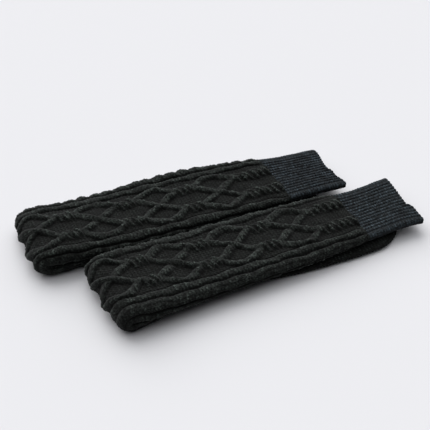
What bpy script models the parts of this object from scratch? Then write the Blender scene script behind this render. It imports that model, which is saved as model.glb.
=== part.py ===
"""A pair of over-the-knee cable-knit socks, each folded in half and laid flat beside the other.

Each sock is a knitted tube pressed flat. Its ribbed cuff and cabled leg lie on top. The leg turns
back round a soft fold at the left, and its last stretch and the plain foot lie underneath.

Sizes are millimetres here and become metres where a mesh is made. Along a sock, s is the distance
from the fold. Across it, t is the distance from its middle line, positive towards the far side.
The frame's origin is under the middle of the pair, on the surface it lies on.
"""

import math

import bpy

METRES_PER_MM = 0.001

# The folded sock
FOLDED_LENGTH = 350.0
SEAM_PLACE = 281.0
ANKLE_PLACE = 92.0
TOE_PLACE = 326.0
PIECE_GAP = 0.3

# The soft turn at the fold, seen from the side
TURN_OUTER_RADIUS = 14.3
TURN_INNER_RADIUS = 0.15
PATTERN_RADIUS = 12.0
TURN_DRAWN_IN = 0.6

# Each sock's place: where the middle of its fold lies, its heading in degrees, how far the middle
# of its cable panel has rolled off the middle line, how far the sock bows, and how far its fold
# and its mouth run askew, measured SKEW_REACH off the middle line
SOCKS = {
    "near": {"fold": (-155.5, -81.7), "heading": 1.7, "panel_middle": 5.0, "bow": 1.2, "skew": (2.8, 1.8)},
    "far": {"fold": (-205.6, 22.6), "heading": -1.7, "panel_middle": -4.6, "bow": 1.6, "skew": (2.6, 5.0)},
}
SKEW_REACH = 40.0

# Upper layer of the leg: place, height of its top and of its underside
UPPER_HEIGHTS = (
    (14.3, 28.6, 14.45),
    (24.0, 28.2, 13.1),
    (42.0, 26.4, 11.2),
    (70.0, 23.6, 10.6),
    (104.0, 21.6, 9.7),
    (150.0, 20.6, 9.5),
    (200.0, 20.0, 9.4),
    (240.0, 19.4, 9.4),
    (281.0, 18.9, 9.4),
)
# Edges of the upper layer: place, near edge, far edge, how far the top sinks at the far edge
UPPER_EDGES = {
    "near": (
        (14.3, 47.8, 46.4, 0.0),
        (42.0, 48.2, 48.4, 0.0),
        (104.0, 46.8, 48.2, 0.0),
        (150.0, 45.8, 47.2, 0.0),
        (200.0, 44.8, 45.4, 0.0),
        (240.0, 42.6, 42.8, 0.0),
        (281.0, 39.2, 39.4, 0.0),
    ),
    "far": (
        (14.3, 46.6, 41.6, 4.6),
        (42.0, 48.2, 41.4, 4.6),
        (104.0, 48.0, 43.2, 2.8),
        (150.0, 47.0, 46.4, 1.0),
        (200.0, 45.4, 46.2, 0.0),
        (240.0, 43.2, 41.4, 0.0),
        (281.0, 39.8, 37.6, 0.0),
    ),
}
# Lower layer, leg and foot: place, height of its top
LOWER_HEIGHTS = (
    (14.3, 14.15),
    (24.0, 12.7),
    (42.0, 10.7),
    (70.0, 10.1),
    (92.0, 9.2),
    (112.0, 9.0),
    (140.0, 9.0),
    (170.0, 8.7),
    (240.0, 8.4),
    (290.0, 8.0),
    (308.0, 7.5),
    (318.0, 6.8),
    (326.0, 5.2),
)
# Edges of the lower layer, drawn in at the ankle and rounded at the toe: place, near, far
LOWER_EDGES = {
    "near": (
        (14.3, 47.8, 46.4),
        (40.0, 43.4, 45.0),
        (65.0, 36.8, 43.4),
        (92.0, 33.6, 41.6),
        (120.0, 33.2, 40.4),
        (145.0, 36.0, 40.6),
        (170.0, 39.2, 41.4),
        (200.0, 43.0, 41.4),
        (240.0, 45.2, 40.8),
        (270.0, 45.6, 39.4),
        (295.0, 44.4, 36.8),
        (308.0, 39.6, 33.4),
        (317.0, 33.2, 28.4),
        (323.0, 26.2, 22.4),
        (326.0, 20.0, 17.0),
    ),
    "far": (
        (14.3, 46.6, 41.6),
        (40.0, 45.4, 40.8),
        (65.0, 43.8, 41.0),
        (92.0, 42.0, 39.4),
        (120.0, 40.6, 38.0),
        (145.0, 40.4, 38.2),
        (170.0, 41.2, 39.6),
        (200.0, 41.4, 40.4),
        (240.0, 41.0, 40.0),
        (270.0, 40.0, 38.0),
        (295.0, 37.6, 35.0),
        (308.0, 34.4, 31.6),
        (317.0, 29.6, 26.6),
        (323.0, 23.6, 21.0),
        (326.0, 17.6, 15.6),
    ),
}
# Cuff: place, height of its top and of its underside, height of the slit inside
CUFF_HEIGHTS = (
    (281.3, 18.4, 9.3, 0.7),
    (292.0, 18.3, 9.2, 0.7),
    (318.0, 18.5, 9.3, 1.0),
    (338.0, 18.7, 9.5, 1.4),
    (350.0, 18.7, 9.6, 1.8),
)
# Edges of the cuff: place, near, far
CUFF_EDGES = {
    "near": (
        (281.3, 38.6, 38.8),
        (292.0, 37.7, 37.8),
        (318.0, 36.4, 38.2),
        (336.0, 36.6, 39.8),
        (350.0, 38.6, 40.6),
    ),
    "far": (
        (281.3, 39.2, 36.8),
        (292.0, 38.4, 35.4),
        (318.0, 38.0, 33.4),
        (350.0, 38.6, 32.0),
    ),
}
# How far the groove between the layers cuts in at the edges: place, share of the full rounding
GROOVE_SHARES = (
    (14.3, 0.0),
    (32.0, 0.06),
    (52.0, 0.5),
    (80.0, 0.9),
    (110.0, 1.0),
)

# Cable panel: four cords, two stitches wide, cross and twist on a purl ground
PERIOD = 67.0
FIRST_NODE = 47.0
LAST_NODE = 181.0
TWIST_LEVEL = 15.0
PANEL_EDGE_LEVEL = 27.5
TWIST_HALF_LENGTH = 10.0
CLOSING_TWIST_START = 238.0
CORD_HALF_WIDTH = 4.8
CORD_HEIGHT = 2.8
TWIST_HALF_WIDTH = 7.4
TWIST_HEIGHT = 3.6
STROKE_SPACING = 7.2
STROKE_SLANT = 0.45

# From the cable panel outwards: a ridge, a rope cable at the tube's side and the back's ridge
SIDE_ALLOWANCE = 1.9
RIDGE_LEVELS = (34.3, 58.2)
RIDGE_HALF_WIDTH = 4.6
RIDGE_HEIGHT = 1.6
ROPE_LEVEL = 46.2
ROPE_HALF_WIDTH = 6.8
ROPE_HEIGHT = 3.0
ROPE_TURN = 15.0
ROPE_SLANT = 24.0
PANEL_LIMIT = 29.0
FULL_HALF_WIDTH = 47.5
SEAM_FADE = 8.0

# Grooves drawn in beside the raised stretches: level, half width, depth
GROOVES = (
    (39.2, 1.6, 0.9),
    (53.3, 1.6, 0.9),
)

# Pulled round the fold, the sides' raised stretches flatten: middle, reach, share that goes
FOLD_FLATTENING = (-4.5, 34.0, 0.7)

# Soft creases pressed into the upper layer: place, distance across, length, width, depth, slant
CREASES = {
    "near": (
        (196.0, -33.0, 62.0, 9.0, 1.3, -10.0),
        (104.0, 38.0, 46.0, 11.0, 0.9, 7.0),
        (58.0, -6.0, 40.0, 16.0, 0.8, 64.0),
    ),
    "far": (
        (172.0, 34.0, 58.0, 12.0, 1.2, -8.0),
        (78.0, -34.0, 44.0, 10.0, 1.0, 9.0),
        (226.0, -6.0, 36.0, 14.0, 0.8, 70.0),
    ),
}

RIB_COUNT = 14
RIB_HEIGHT = 1.1
MOUTH_SCALLOP = 0.7

# How the mouth's edge runs: share across from the near side, how far it is drawn back
MOUTHS = {
    "near": (
        (-1.0, 3.2),
        (-0.9, 1.6),
        (-0.7, 1.6),
        (-0.45, 0.9),
        (-0.34, 1.6),
        (-0.24, 5.0),
        (-0.1, 4.6),
        (0.1, 3.6),
        (0.4, 1.7),
        (0.8, 0.3),
        (0.92, 0.8),
        (1.0, 3.0),
    ),
    "far": (
        (-1.0, 3.0),
        (-0.9, 1.0),
        (-0.75, 1.6),
        (-0.5, 4.4),
        (-0.2, 4.2),
        (-0.08, 6.4),
        (0.1, 6.0),
        (0.3, 4.6),
        (0.6, 2.2),
        (0.8, 1.2),
        (0.92, 2.2),
        (1.0, 4.4),
    ),
}

# Steps of the meshes; columns are those of the shown face, of each edge and of the hidden face
EDGE_ROUNDNESS = 1.8
EDGE_LIMIT = 0.2
LEG_COLUMNS = (30, 6, 3)
UPPER_STEPS = 60
TURN_STEPS = 8
LOWER_STEPS = 4
FOOT_COLUMNS = (8, 4, 8)
FOOT_STEPS = 18
TOE_CROWDING = 1.5
CUFF_COLUMNS = (2 * RIB_COUNT, 4, 2 * RIB_COUNT)
CUFF_STEPS = 5

YARN_COLOURS = {
    "rib": (0.0185, 0.0205, 0.0225, 1.0),
    "cable": (0.0150, 0.0158, 0.0165, 1.0),
    "plain": (0.0140, 0.0145, 0.0150, 1.0),
}
YARN_ROUGHNESS = 0.92


def ease(x):
    """Rises smoothly from 0 to 1 as x does."""
    x = min(1.0, max(0.0, x))
    return x * x * (3.0 - 2.0 * x)


def dome(distance, half_width):
    """A round bump, 1 in its middle and 0 from half_width on."""
    x = min(1.0, abs(distance) / half_width)
    return (1.0 - x * x) ** 1.5


def read_rows(rows, place):
    """Every column of a table at this place, on a smooth curve through its rows."""
    places = [row[0] for row in rows]
    place = min(places[-1], max(places[0], place))
    last = len(rows) - 1
    k = 0
    while k < last - 1 and place > places[k + 1]:
        k += 1
    step = places[k + 1] - places[k]
    x = (place - places[k]) / step
    found = []
    for column in range(1, len(rows[0])):
        low = rows[k][column]
        high = rows[k + 1][column]
        slopes = []
        for j in (k, k + 1):
            before = max(0, j - 1)
            after = min(last, j + 1)
            run = places[after] - places[before]
            slopes.append((rows[after][column] - rows[before][column]) / run * step)
        found.append(
            low * (1.0 + 2.0 * x) * (1.0 - x) ** 2
            + slopes[0] * x * (1.0 - x) ** 2
            + high * x * x * (3.0 - 2.0 * x)
            + slopes[1] * x * x * (x - 1.0)
        )
    return found


def plump(distance, half_width):
    """A bump like a filled cord, with steep sides."""
    x = min(1.0, abs(distance) / half_width)
    return (1.0 - x * x) ** 0.8


def twist(along, level):
    """Two cords twisted round each other, as slanting strokes on a round ridge."""
    stroke = math.cos(2.0 * math.pi * (along + STROKE_SLANT * level) / STROKE_SPACING)
    return TWIST_HEIGHT * plump(level, TWIST_HALF_WIDTH) * (0.8 + 0.2 * stroke)


def panel_relief(s, level):
    """Height of the cable panel's cords above its purl ground."""
    cell = math.floor((s - FIRST_NODE) / PERIOD)
    node = min(LAST_NODE, FIRST_NODE + cell * PERIOD)
    travel_start = node + TWIST_HALF_LENGTH
    travel_end = min(node + PERIOD - TWIST_HALF_LENGTH, CLOSING_TWIST_START)
    travel = (s - travel_start) / (travel_end - travel_start)
    if travel <= 0.0 or travel >= 1.0:
        along = s - node if travel <= 0.0 else s - node - PERIOD
        return max(twist(along, level - TWIST_LEVEL), twist(along, level + TWIST_LEVEL))
    slant = math.cos(math.atan2(2.0 * TWIST_LEVEL, travel_end - travel_start))
    swing = 1.0 - abs(2.0 * travel - 1.0)
    outer = TWIST_LEVEL + (PANEL_EDGE_LEVEL - TWIST_LEVEL) * swing * (1.5 - 0.5 * swing)
    cords = (
        TWIST_LEVEL * (1.0 - 2.0 * travel),
        TWIST_LEVEL * (2.0 * travel - 1.0),
        outer,
        -outer,
    )
    return max(CORD_HEIGHT * plump((level - cord) * slant, CORD_HALF_WIDTH) for cord in cords)


def leg_relief(s, level, half_width):
    """Height of the knit pattern of the leg, where level is measured round the tube from the
    middle of the cable panel. Both sides of the panel are alike, and where the tube is narrower
    the stretches beside the panel are drawn in."""
    side = abs(level)
    if side < RIDGE_LEVELS[0] - RIDGE_HALF_WIDTH:
        return panel_relief(s, level)
    drawn_in = math.sqrt((FULL_HALF_WIDTH - PANEL_LIMIT) / (half_width - PANEL_LIMIT))
    side = PANEL_LIMIT + (side - PANEL_LIMIT) * drawn_in
    strand = abs(math.cos(math.pi * (s / ROPE_TURN + (side - ROPE_LEVEL) / ROPE_SLANT)))
    height = ROPE_HEIGHT * plump(side - ROPE_LEVEL, ROPE_HALF_WIDTH) * (0.4 + 0.6 * strand)
    for ridge in RIDGE_LEVELS:
        height = max(height, RIDGE_HEIGHT * plump(side - ridge, RIDGE_HALF_WIDTH))
    for groove, groove_half_width, depth in GROOVES:
        height -= depth * dome(side - groove, groove_half_width)
    middle, reach, share = FOLD_FLATTENING
    at_seam = 0.25 + 0.75 * ease((SEAM_PLACE - s) / SEAM_FADE)
    at_fold = 1.0 - share * dome(s - middle, reach) * ease((side - PANEL_LIMIT) / 12.0)
    return height * at_seam * at_fold


def crease_depth(creases, s, t):
    """How far the soft creases press the upper layer down."""
    depth = 0.0
    for place, across, length, width, deepest, slant in creases:
        turn = math.radians(slant)
        along = (s - place) * math.cos(turn) + (t - across) * math.sin(turn)
        aside = (t - across) * math.cos(turn) - (s - place) * math.sin(turn)
        depth += deepest * dome(along, length / 2.0) * dome(aside, width / 2.0)
    return depth


def flat_section(edges, thickness, columns, groove=1.0):
    """One section of a flattened tube: a list of (t, n, normal t, normal n, level, shown).

    edges are its near and far half widths. columns are the steps on its shown face, round each
    edge and on its hidden face. n runs from the hidden side to the shown side. The shown face
    comes first, from near to far, then the far edge, the hidden face and the near edge. level is
    the distance round the tube from the sock's middle line, and shown is 1 on the shown face and
    falls to 0 behind. A groove below 1 squares the rounding next to the hidden face."""
    near, far = edges
    shown_columns, arc_steps, hidden_columns = columns
    middle = (far - near) / 2.0
    half = thickness / 2.0
    edge = min(half * (1.0 + (EDGE_ROUNDNESS - 1.0) * groove), EDGE_LIMIT * (near + far))
    flat = (far + near) / 2.0 - edge
    quarter = math.pi / 2.0 * math.sqrt((edge * edge + half * half) / 2.0)
    points = []
    for k in range(shown_columns + 1):
        t = middle + flat * (2.0 * k / shown_columns - 1.0)
        points.append((t, half, 0.0, 1.0, t, 1.0))
    arcs = {}
    for side in (1.0, -1.0):
        arcs[side] = []
        for k in range(1, arc_steps):
            angle = math.pi * k / arc_steps
            rounding = groove if angle > math.pi / 2.0 else 1.0
            reach = 1.0 - rounding * (1.0 - math.sin(angle))
            level = middle + side * (flat + quarter * angle / (math.pi / 2.0))
            shown = ease((math.pi - angle) / (math.pi / 2.0))
            t = middle + side * (flat + edge * reach)
            out_t = half * math.sin(angle)
            out_n = edge * rounding * math.cos(angle)
            length = math.hypot(out_t, out_n)
            n = half * math.cos(angle)
            arcs[side].append((t, n, side * out_t / length, out_n / length, level, shown))
    points.extend(arcs[1.0])
    hidden_flat = flat + edge * (1.0 - groove)
    for k in range(hidden_columns + 1):
        t = middle + hidden_flat * (1.0 - 2.0 * k / hidden_columns)
        points.append((t, -half, 0.0, -1.0, t, 0.0))
    points.extend(reversed(arcs[-1.0]))
    return points


def leg_ring(name, inner, outer, edges, sunk, pattern_place):
    """One ring of the leg, between an inner and an outer point of the sock's side view."""
    sock = SOCKS[name]
    thickness = math.hypot(outer[0] - inner[0], outer[1] - inner[1])
    n_s = (outer[0] - inner[0]) / thickness
    n_z = (outer[1] - inner[1]) / thickness
    middle = ((inner[0] + outer[0]) / 2.0, (inner[1] + outer[1]) / 2.0)
    half_width = (edges[0] + edges[1]) / 2.0
    groove = read_rows(GROOVE_SHARES, max(inner[0], GROOVE_SHARES[0][0]))[0]
    base_edges = [edge - SIDE_ALLOWANCE for edge in edges]
    ring = []
    for t, n, normal_t, normal_n, level, shown in flat_section(base_edges, thickness, LEG_COLUMNS, groove):
        raised = shown * leg_relief(pattern_place, level - sock["panel_middle"], half_width)
        facing_up = max(0.0, n_z) * max(0.0, normal_n)
        raised -= facing_up * crease_depth(CREASES[name], pattern_place, t)
        raised *= 1.0 - ease(-n_z) * max(0.0, normal_n)
        n -= sunk * max(0.0, n_z) * ease(t / half_width) * (n / thickness + 0.5)
        t += raised * normal_t
        n += raised * normal_n
        ring.append((middle[0] + n * n_s, t, max(0.0, middle[1] + n * n_z)))
    return ring


def leg_rings(name):
    """Rings from the cuff seam, along the upper layer, round the fold and back to the ankle."""
    rings = []
    turn_place = UPPER_HEIGHTS[0][0]
    for k in range(UPPER_STEPS + 1):
        s = SEAM_PLACE + (turn_place - SEAM_PLACE) * k / UPPER_STEPS
        top, underside = read_rows(UPPER_HEIGHTS, s)
        near, far, sunk = read_rows(UPPER_EDGES[name], s)
        rings.append(leg_ring(name, (s, underside), (s, top), (near, far), sunk, s))
    _, near, far, sunk = UPPER_EDGES[name][0]
    for k in range(1, TURN_STEPS):
        angle = math.pi * k / TURN_STEPS
        direction = (-math.sin(angle), math.cos(angle))
        inner = (turn_place + TURN_INNER_RADIUS * direction[0],
                 TURN_OUTER_RADIUS + TURN_INNER_RADIUS * direction[1])
        outer = (turn_place + TURN_OUTER_RADIUS * direction[0],
                 TURN_OUTER_RADIUS + TURN_OUTER_RADIUS * direction[1])
        drawn_in = TURN_DRAWN_IN * math.sin(angle)
        edges = (near - drawn_in, far - drawn_in)
        rings.append(leg_ring(name, inner, outer, edges, sunk, turn_place - PATTERN_RADIUS * angle))
    for k in range(LOWER_STEPS + 1):
        s = turn_place + (ANKLE_PLACE - turn_place) * k / LOWER_STEPS
        top = read_rows(LOWER_HEIGHTS, s)[0]
        edges = read_rows(LOWER_EDGES[name], s)
        place = turn_place - PATTERN_RADIUS * math.pi - (s - turn_place)
        rings.append(leg_ring(name, (s, top), (s, 0.0), edges, 0.0, place))
    return rings


def foot_rings(name):
    """Rings of the plain foot, from the ankle to the rounded toe, in the lower layer."""
    rings = []
    first = ANKLE_PLACE + PIECE_GAP
    for k in range(FOOT_STEPS + 1):
        share = k / FOOT_STEPS
        s = first + (TOE_PLACE - first) * (1.0 - (1.0 - share) ** TOE_CROWDING)
        top = read_rows(LOWER_HEIGHTS, s)[0]
        section = flat_section(read_rows(LOWER_EDGES[name], s), top, FOOT_COLUMNS)
        rings.append([(s, t, n + top / 2.0) for t, n, _, _, _, _ in section])
    return rings


def cuff_rings(name, inside):
    """Rings of the ribbed cuff, outside or inside, from the leg to the mouth."""
    rings = []
    first = SEAM_PLACE + PIECE_GAP
    for k in range(CUFF_STEPS + 1):
        s = first + (FOLDED_LENGTH - first) * k / CUFF_STEPS
        top, underside, slit = read_rows(CUFF_HEIGHTS, s)
        edges = read_rows(CUFF_EDGES[name], s)
        middle = (top + underside) / 2.0
        wall = (top - underside - slit) / 2.0
        if inside:
            section = flat_section([edge - wall for edge in edges], slit, CUFF_COLUMNS)
        else:
            base_edges = [edge - RIB_HEIGHT / 2.0 for edge in edges]
            section = flat_section(base_edges, top - underside - RIB_HEIGHT, CUFF_COLUMNS)
        ring = []
        for index, (t, n, normal_t, normal_n, _, _) in enumerate(section):
            on_rib = index % 2
            raised = 0.0 if inside else RIB_HEIGHT * (on_rib - 0.5)
            reach = (s - first) / (FOLDED_LENGTH - first)
            across = (t - (edges[1] - edges[0]) / 2.0) / (edges[0] + edges[1]) * 2.0
            drawn_back = read_rows(MOUTHS[name], across)[0] * reach ** 3
            if k == CUFF_STEPS:
                drawn_back += MOUTH_SCALLOP * (1 - on_rib)
            ring.append((s - drawn_back, t + raised * normal_t, middle + n + raised * normal_n))
        rings.append(ring)
    return rings


def band_faces(ring_size, first_ring, second_ring):
    """Four-sided faces between two rings of points."""
    faces = []
    for k in range(ring_size):
        after = (k + 1) % ring_size
        faces.append(
            (
                first_ring * ring_size + k,
                first_ring * ring_size + after,
                second_ring * ring_size + after,
                second_ring * ring_size + k,
            )
        )
    return faces


def closed_faces(rings, caps):
    """Faces of a closed body through the rings. With caps its two ends are covered, and without
    them the last ring joins the first, as on a tube with an inside."""
    size = len(rings[0])
    faces = []
    for k in range(len(rings) - 1):
        faces.extend(band_faces(size, k, k + 1))
    if caps:
        faces.append(tuple(reversed(range(size))))
        faces.append(tuple(range((len(rings) - 1) * size, len(rings) * size)))
    else:
        faces.extend(band_faces(size, len(rings) - 1, 0))
    return faces


def sock_place(name, s, t):
    """Where a point of the folded sock lies on the surface, in millimetres."""
    sock = SOCKS[name]
    share = s / FOLDED_LENGTH
    at_fold, at_mouth = sock["skew"]
    along = s - (at_fold + (at_mouth - at_fold) * share) * t / SKEW_REACH
    across = t + sock["bow"] * math.sin(math.pi * share)
    heading = math.radians(sock["heading"])
    x = sock["fold"][0] + along * math.cos(heading) - across * math.sin(heading)
    y = sock["fold"][1] + along * math.sin(heading) + across * math.cos(heading)
    return x, y


def signed_volume(points, faces):
    """Positive where the faces point out."""
    total = 0.0
    for face in faces:
        a = points[face[0]]
        for j in range(1, len(face) - 1):
            b = points[face[j]]
            c = points[face[j + 1]]
            total += a[0] * (b[1] * c[2] - b[2] * c[1])
            total += a[1] * (b[2] * c[0] - b[0] * c[2])
            total += a[2] * (b[0] * c[1] - b[1] * c[0])
    return total


def yarn(name):
    """Matt charcoal yarn."""
    found = bpy.data.materials.get(name + "_knit")
    if found:
        return found
    material = bpy.data.materials.new(name + "_knit")
    material.use_nodes = True
    shader = material.node_tree.nodes["Principled BSDF"]
    shader.inputs["Base Color"].default_value = YARN_COLOURS[name]
    shader.inputs["Roughness"].default_value = YARN_ROUGHNESS
    shader.inputs["Metallic"].default_value = 0.0
    return material


def add_piece(name, sock_name, rings, caps, knit, parent):
    """Makes one closed, smooth-shaded body from its rings and puts it under the pair's empty."""
    points = []
    for ring in rings:
        for s, t, z in ring:
            x, y = sock_place(sock_name, s, t)
            points.append((x * METRES_PER_MM, y * METRES_PER_MM, z * METRES_PER_MM))
    faces = closed_faces(rings, caps)
    if signed_volume(points, faces) < 0.0:
        faces = [tuple(reversed(face)) for face in faces]
    mesh = bpy.data.meshes.new(name)
    mesh.from_pydata(points, [], faces)
    mesh.materials.append(yarn(knit))
    mesh.shade_smooth()
    mesh.set_sharp_from_angle(angle=math.radians(50.0))
    piece = bpy.data.objects.new(name, mesh)
    bpy.context.scene.collection.objects.link(piece)
    piece.parent = parent
    return piece


def remove_everything():
    """Empties the scene."""
    for old in list(bpy.data.objects):
        bpy.data.objects.remove(old, do_unlink=True)


def add_sock(name, parent):
    """The leg, foot and cuff of one sock."""
    outside = cuff_rings(name, inside=False)
    inside = cuff_rings(name, inside=True)
    return [
        add_piece(name + "_leg", name, leg_rings(name), True, "cable", parent),
        add_piece(name + "_foot", name, foot_rings(name), True, "plain", parent),
        add_piece(name + "_cuff", name, outside + inside[::-1], False, "rib", parent),
    ]


def centre_pair(parent, pieces):
    """Moves the pair so that the frame's origin is under the middle of its box."""
    corners = [vertex.co for piece in pieces for vertex in piece.data.vertices]
    for axis in (0, 1):
        values = [corner[axis] for corner in corners]
        parent.location[axis] = -(min(values) + max(values)) / 2.0
    parent.location[2] = -min(corner[2] for corner in corners)


def main():
    remove_everything()
    pair = bpy.data.objects.new("pair", None)
    bpy.context.scene.collection.objects.link(pair)
    pieces = []
    for name in SOCKS:
        pieces.extend(add_sock(name, pair))
    centre_pair(pair, pieces)
    bpy.context.view_layer.update()


main()
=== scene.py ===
"""A pair of over-the-knee cable-knit socks in charcoal yarn, folded in half and laid side by side.

Each sock is a tube pressed flat. Its ribbed cuff and cabled leg lie on top, the leg turns back
round a soft fold, and its last stretch and the plain foot lie underneath. Every stretch is a thin
shell whose outside carries the knitting itself: purl ground, travelling cords, twists, side ropes,
smooth bands and ribs, stitch by stitch.

Sizes in the tables are millimetres. Along a sock, s is the distance from the fold. Across it, t is
the distance from its middle line, positive towards the far side. A level is a distance round the
tube from the middle of the cable panel.
"""

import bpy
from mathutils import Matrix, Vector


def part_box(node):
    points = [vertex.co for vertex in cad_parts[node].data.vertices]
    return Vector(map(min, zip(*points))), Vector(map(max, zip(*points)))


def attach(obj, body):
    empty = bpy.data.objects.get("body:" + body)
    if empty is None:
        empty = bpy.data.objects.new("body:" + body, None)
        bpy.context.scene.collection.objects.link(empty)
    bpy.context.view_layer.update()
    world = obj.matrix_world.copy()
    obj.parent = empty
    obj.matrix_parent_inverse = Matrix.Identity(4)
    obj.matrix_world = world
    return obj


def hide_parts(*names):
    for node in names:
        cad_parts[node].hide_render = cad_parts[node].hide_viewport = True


bl_info = {
    "name": "Cable-knit over-the-knee socks",
    "version": (1, 0, 0),
    "blender": (4, 5, 0),
    "location": "3D View > Sidebar > Socks",
    "description": "Knits a folded pair of cabled over-the-knee socks and the studio they lie in",
    "category": "Add Mesh",
}

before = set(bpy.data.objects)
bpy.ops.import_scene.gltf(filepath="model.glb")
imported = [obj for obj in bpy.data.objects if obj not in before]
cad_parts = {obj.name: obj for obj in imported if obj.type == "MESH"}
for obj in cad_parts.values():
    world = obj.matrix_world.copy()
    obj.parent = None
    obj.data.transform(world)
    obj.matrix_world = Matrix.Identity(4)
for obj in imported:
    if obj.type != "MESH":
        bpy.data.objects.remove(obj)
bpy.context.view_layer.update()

import math

import bpy
import numpy as np
from mathutils import Vector

MM = 0.001

# The folded sock
FOLDED_LENGTH = 350.0
SEAM_PLACE = 281.0
ANKLE_PLACE = 92.0
TOE_PLACE = 326.0
HALF_GAP = 0.15

# The soft turn at the fold, seen from the side
TURN_OUTER_RADIUS = 14.3
TURN_INNER_RADIUS = 0.15
PATTERN_RADIUS = 12.0
TURN_DRAWN_IN = 0.6

# How each sock lies: where the middle of its fold is, its heading in degrees, how far the middle of
# its cable panel has rolled off the middle line, how far the sock bows, how far its fold and its
# mouth run askew at SKEW_REACH off the middle line, and the share of its height that the rope
# cable keeps on the near side, where it is stretched over the edge
SOCKS = {
    "near": {
        "fold": (-155.5, -81.7),
        "heading": 1.7,
        "panel_middle": 5.0,
        "bow": 1.2,
        "skew": (2.8, 1.8),
        "near_rope": 0.4,
    },
    "far": {
        "fold": (-205.6, 22.6),
        "heading": -1.7,
        "panel_middle": -4.6,
        "bow": 1.6,
        "skew": (2.6, 5.0),
        "near_rope": 0.8,
    },
}
SKEW_REACH = 40.0

# A layer's rounded edge: how far it reaches in, against half the layer's thickness, and at most,
# against its width, and the room that the leg's leaves for its raised ropes
EDGE_ROUNDNESS = 1.8
EDGE_LIMIT = 0.2
SIDE_ALLOWANCE = 1.9

# Thickness of the knitting
LEG_WALL = 2.2
FOOT_WALL = 1.6

# Upper layer of the leg: place, height of its top and of its underside
UPPER_HEIGHTS = (
    (14.3, 28.6, 14.45),
    (24.0, 28.2, 13.1),
    (42.0, 26.4, 11.2),
    (70.0, 23.6, 10.6),
    (104.0, 21.6, 9.7),
    (150.0, 20.6, 9.5),
    (200.0, 20.0, 9.4),
    (240.0, 19.4, 9.4),
    (281.0, 18.9, 9.4),
)
# Edges of the upper layer: place, near edge, far edge, how far the top sinks at the far edge
UPPER_EDGES = {
    "near": (
        (14.3, 47.8, 46.4, 0.0),
        (42.0, 48.2, 48.4, 0.0),
        (104.0, 46.8, 48.2, 0.0),
        (150.0, 45.8, 47.2, 0.0),
        (200.0, 44.8, 45.4, 0.0),
        (240.0, 42.6, 42.8, 0.0),
        (281.0, 39.2, 39.4, 0.0),
    ),
    "far": (
        (14.3, 46.6, 41.6, 4.6),
        (42.0, 48.2, 41.4, 4.6),
        (104.0, 48.0, 43.2, 2.8),
        (150.0, 47.0, 46.4, 1.0),
        (200.0, 45.4, 46.2, 0.0),
        (240.0, 43.2, 41.4, 0.0),
        (281.0, 39.8, 37.6, 0.0),
    ),
}
# Lower layer, leg and foot: place, height of its top
LOWER_HEIGHTS = (
    (14.3, 14.15),
    (24.0, 12.7),
    (42.0, 10.7),
    (70.0, 10.1),
    (92.0, 9.2),
    (112.0, 9.0),
    (140.0, 9.0),
    (170.0, 8.7),
    (240.0, 8.4),
    (290.0, 8.0),
    (308.0, 7.5),
    (318.0, 6.8),
    (326.0, 5.2),
)
# Edges of the lower layer, drawn in at the ankle and rounded at the toe: place, near, far
LOWER_EDGES = {
    "near": (
        (14.3, 47.8, 46.4),
        (40.0, 43.4, 45.0),
        (65.0, 36.8, 43.4),
        (92.0, 33.6, 41.6),
        (120.0, 33.2, 40.4),
        (145.0, 36.0, 40.6),
        (170.0, 39.2, 41.4),
        (200.0, 43.0, 41.4),
        (240.0, 45.2, 40.8),
        (270.0, 45.6, 39.4),
        (295.0, 44.4, 36.8),
        (308.0, 39.6, 33.4),
        (317.0, 33.2, 28.4),
        (323.0, 26.2, 22.4),
        (326.0, 20.0, 17.0),
    ),
    "far": (
        (14.3, 46.6, 41.6),
        (40.0, 45.4, 40.8),
        (65.0, 43.8, 41.0),
        (92.0, 42.0, 39.4),
        (120.0, 40.6, 38.0),
        (145.0, 40.4, 38.2),
        (170.0, 41.2, 39.6),
        (200.0, 41.4, 40.4),
        (240.0, 41.0, 40.0),
        (270.0, 40.0, 38.0),
        (295.0, 37.6, 35.0),
        (308.0, 34.4, 31.6),
        (317.0, 29.6, 26.6),
        (323.0, 23.6, 21.0),
        (326.0, 17.6, 15.6),
    ),
}
# Cuff: place, height of its top and of its underside, height of the slit inside
CUFF_HEIGHTS = (
    (281.3, 18.4, 9.3, 0.7),
    (292.0, 18.3, 9.2, 0.7),
    (318.0, 18.5, 9.3, 1.0),
    (338.0, 18.7, 9.5, 1.4),
    (350.0, 18.7, 9.6, 1.8),
)
# Edges of the cuff: place, near, far
CUFF_EDGES = {
    "near": (
        (281.3, 38.6, 38.8),
        (292.0, 37.7, 37.8),
        (318.0, 36.4, 38.2),
        (336.0, 36.6, 39.8),
        (350.0, 38.6, 40.6),
    ),
    "far": (
        (281.3, 39.2, 36.8),
        (292.0, 38.4, 35.4),
        (318.0, 38.0, 33.4),
        (350.0, 38.6, 32.0),
    ),
}
# How far the leg's edges round off on the side of the groove between its layers: place, share
GROOVE_SHARES = (
    (14.3, 0.0),
    (32.0, 0.06),
    (52.0, 0.5),
    (80.0, 0.9),
    (110.0, 1.0),
)

# Cable panel: four cords, two stitches wide, cross and twist on a purl ground
PERIOD = 67.0
FIRST_NODE = 47.0
LAST_NODE = 181.0
CLOSING_NODE = 248.0
TWIST_LEVEL = 15.0
PANEL_EDGE_LEVEL = 27.5
TWIST_HALF_LENGTH = 10.0
TWIST_FADE = 5.0
CLOSING_TWIST_START = 238.0
CORD_HALF_WIDTH = 4.4
CORD_HEIGHT = 3.1

# Where two cords cross: the share of their travel that it takes, how far the upper one rises, and
# the share of its height that the lower one loses
CROSSING_REACH = 0.2
CROSSING_LIFT = 0.9
CROSSING_DIP = 0.3

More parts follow.
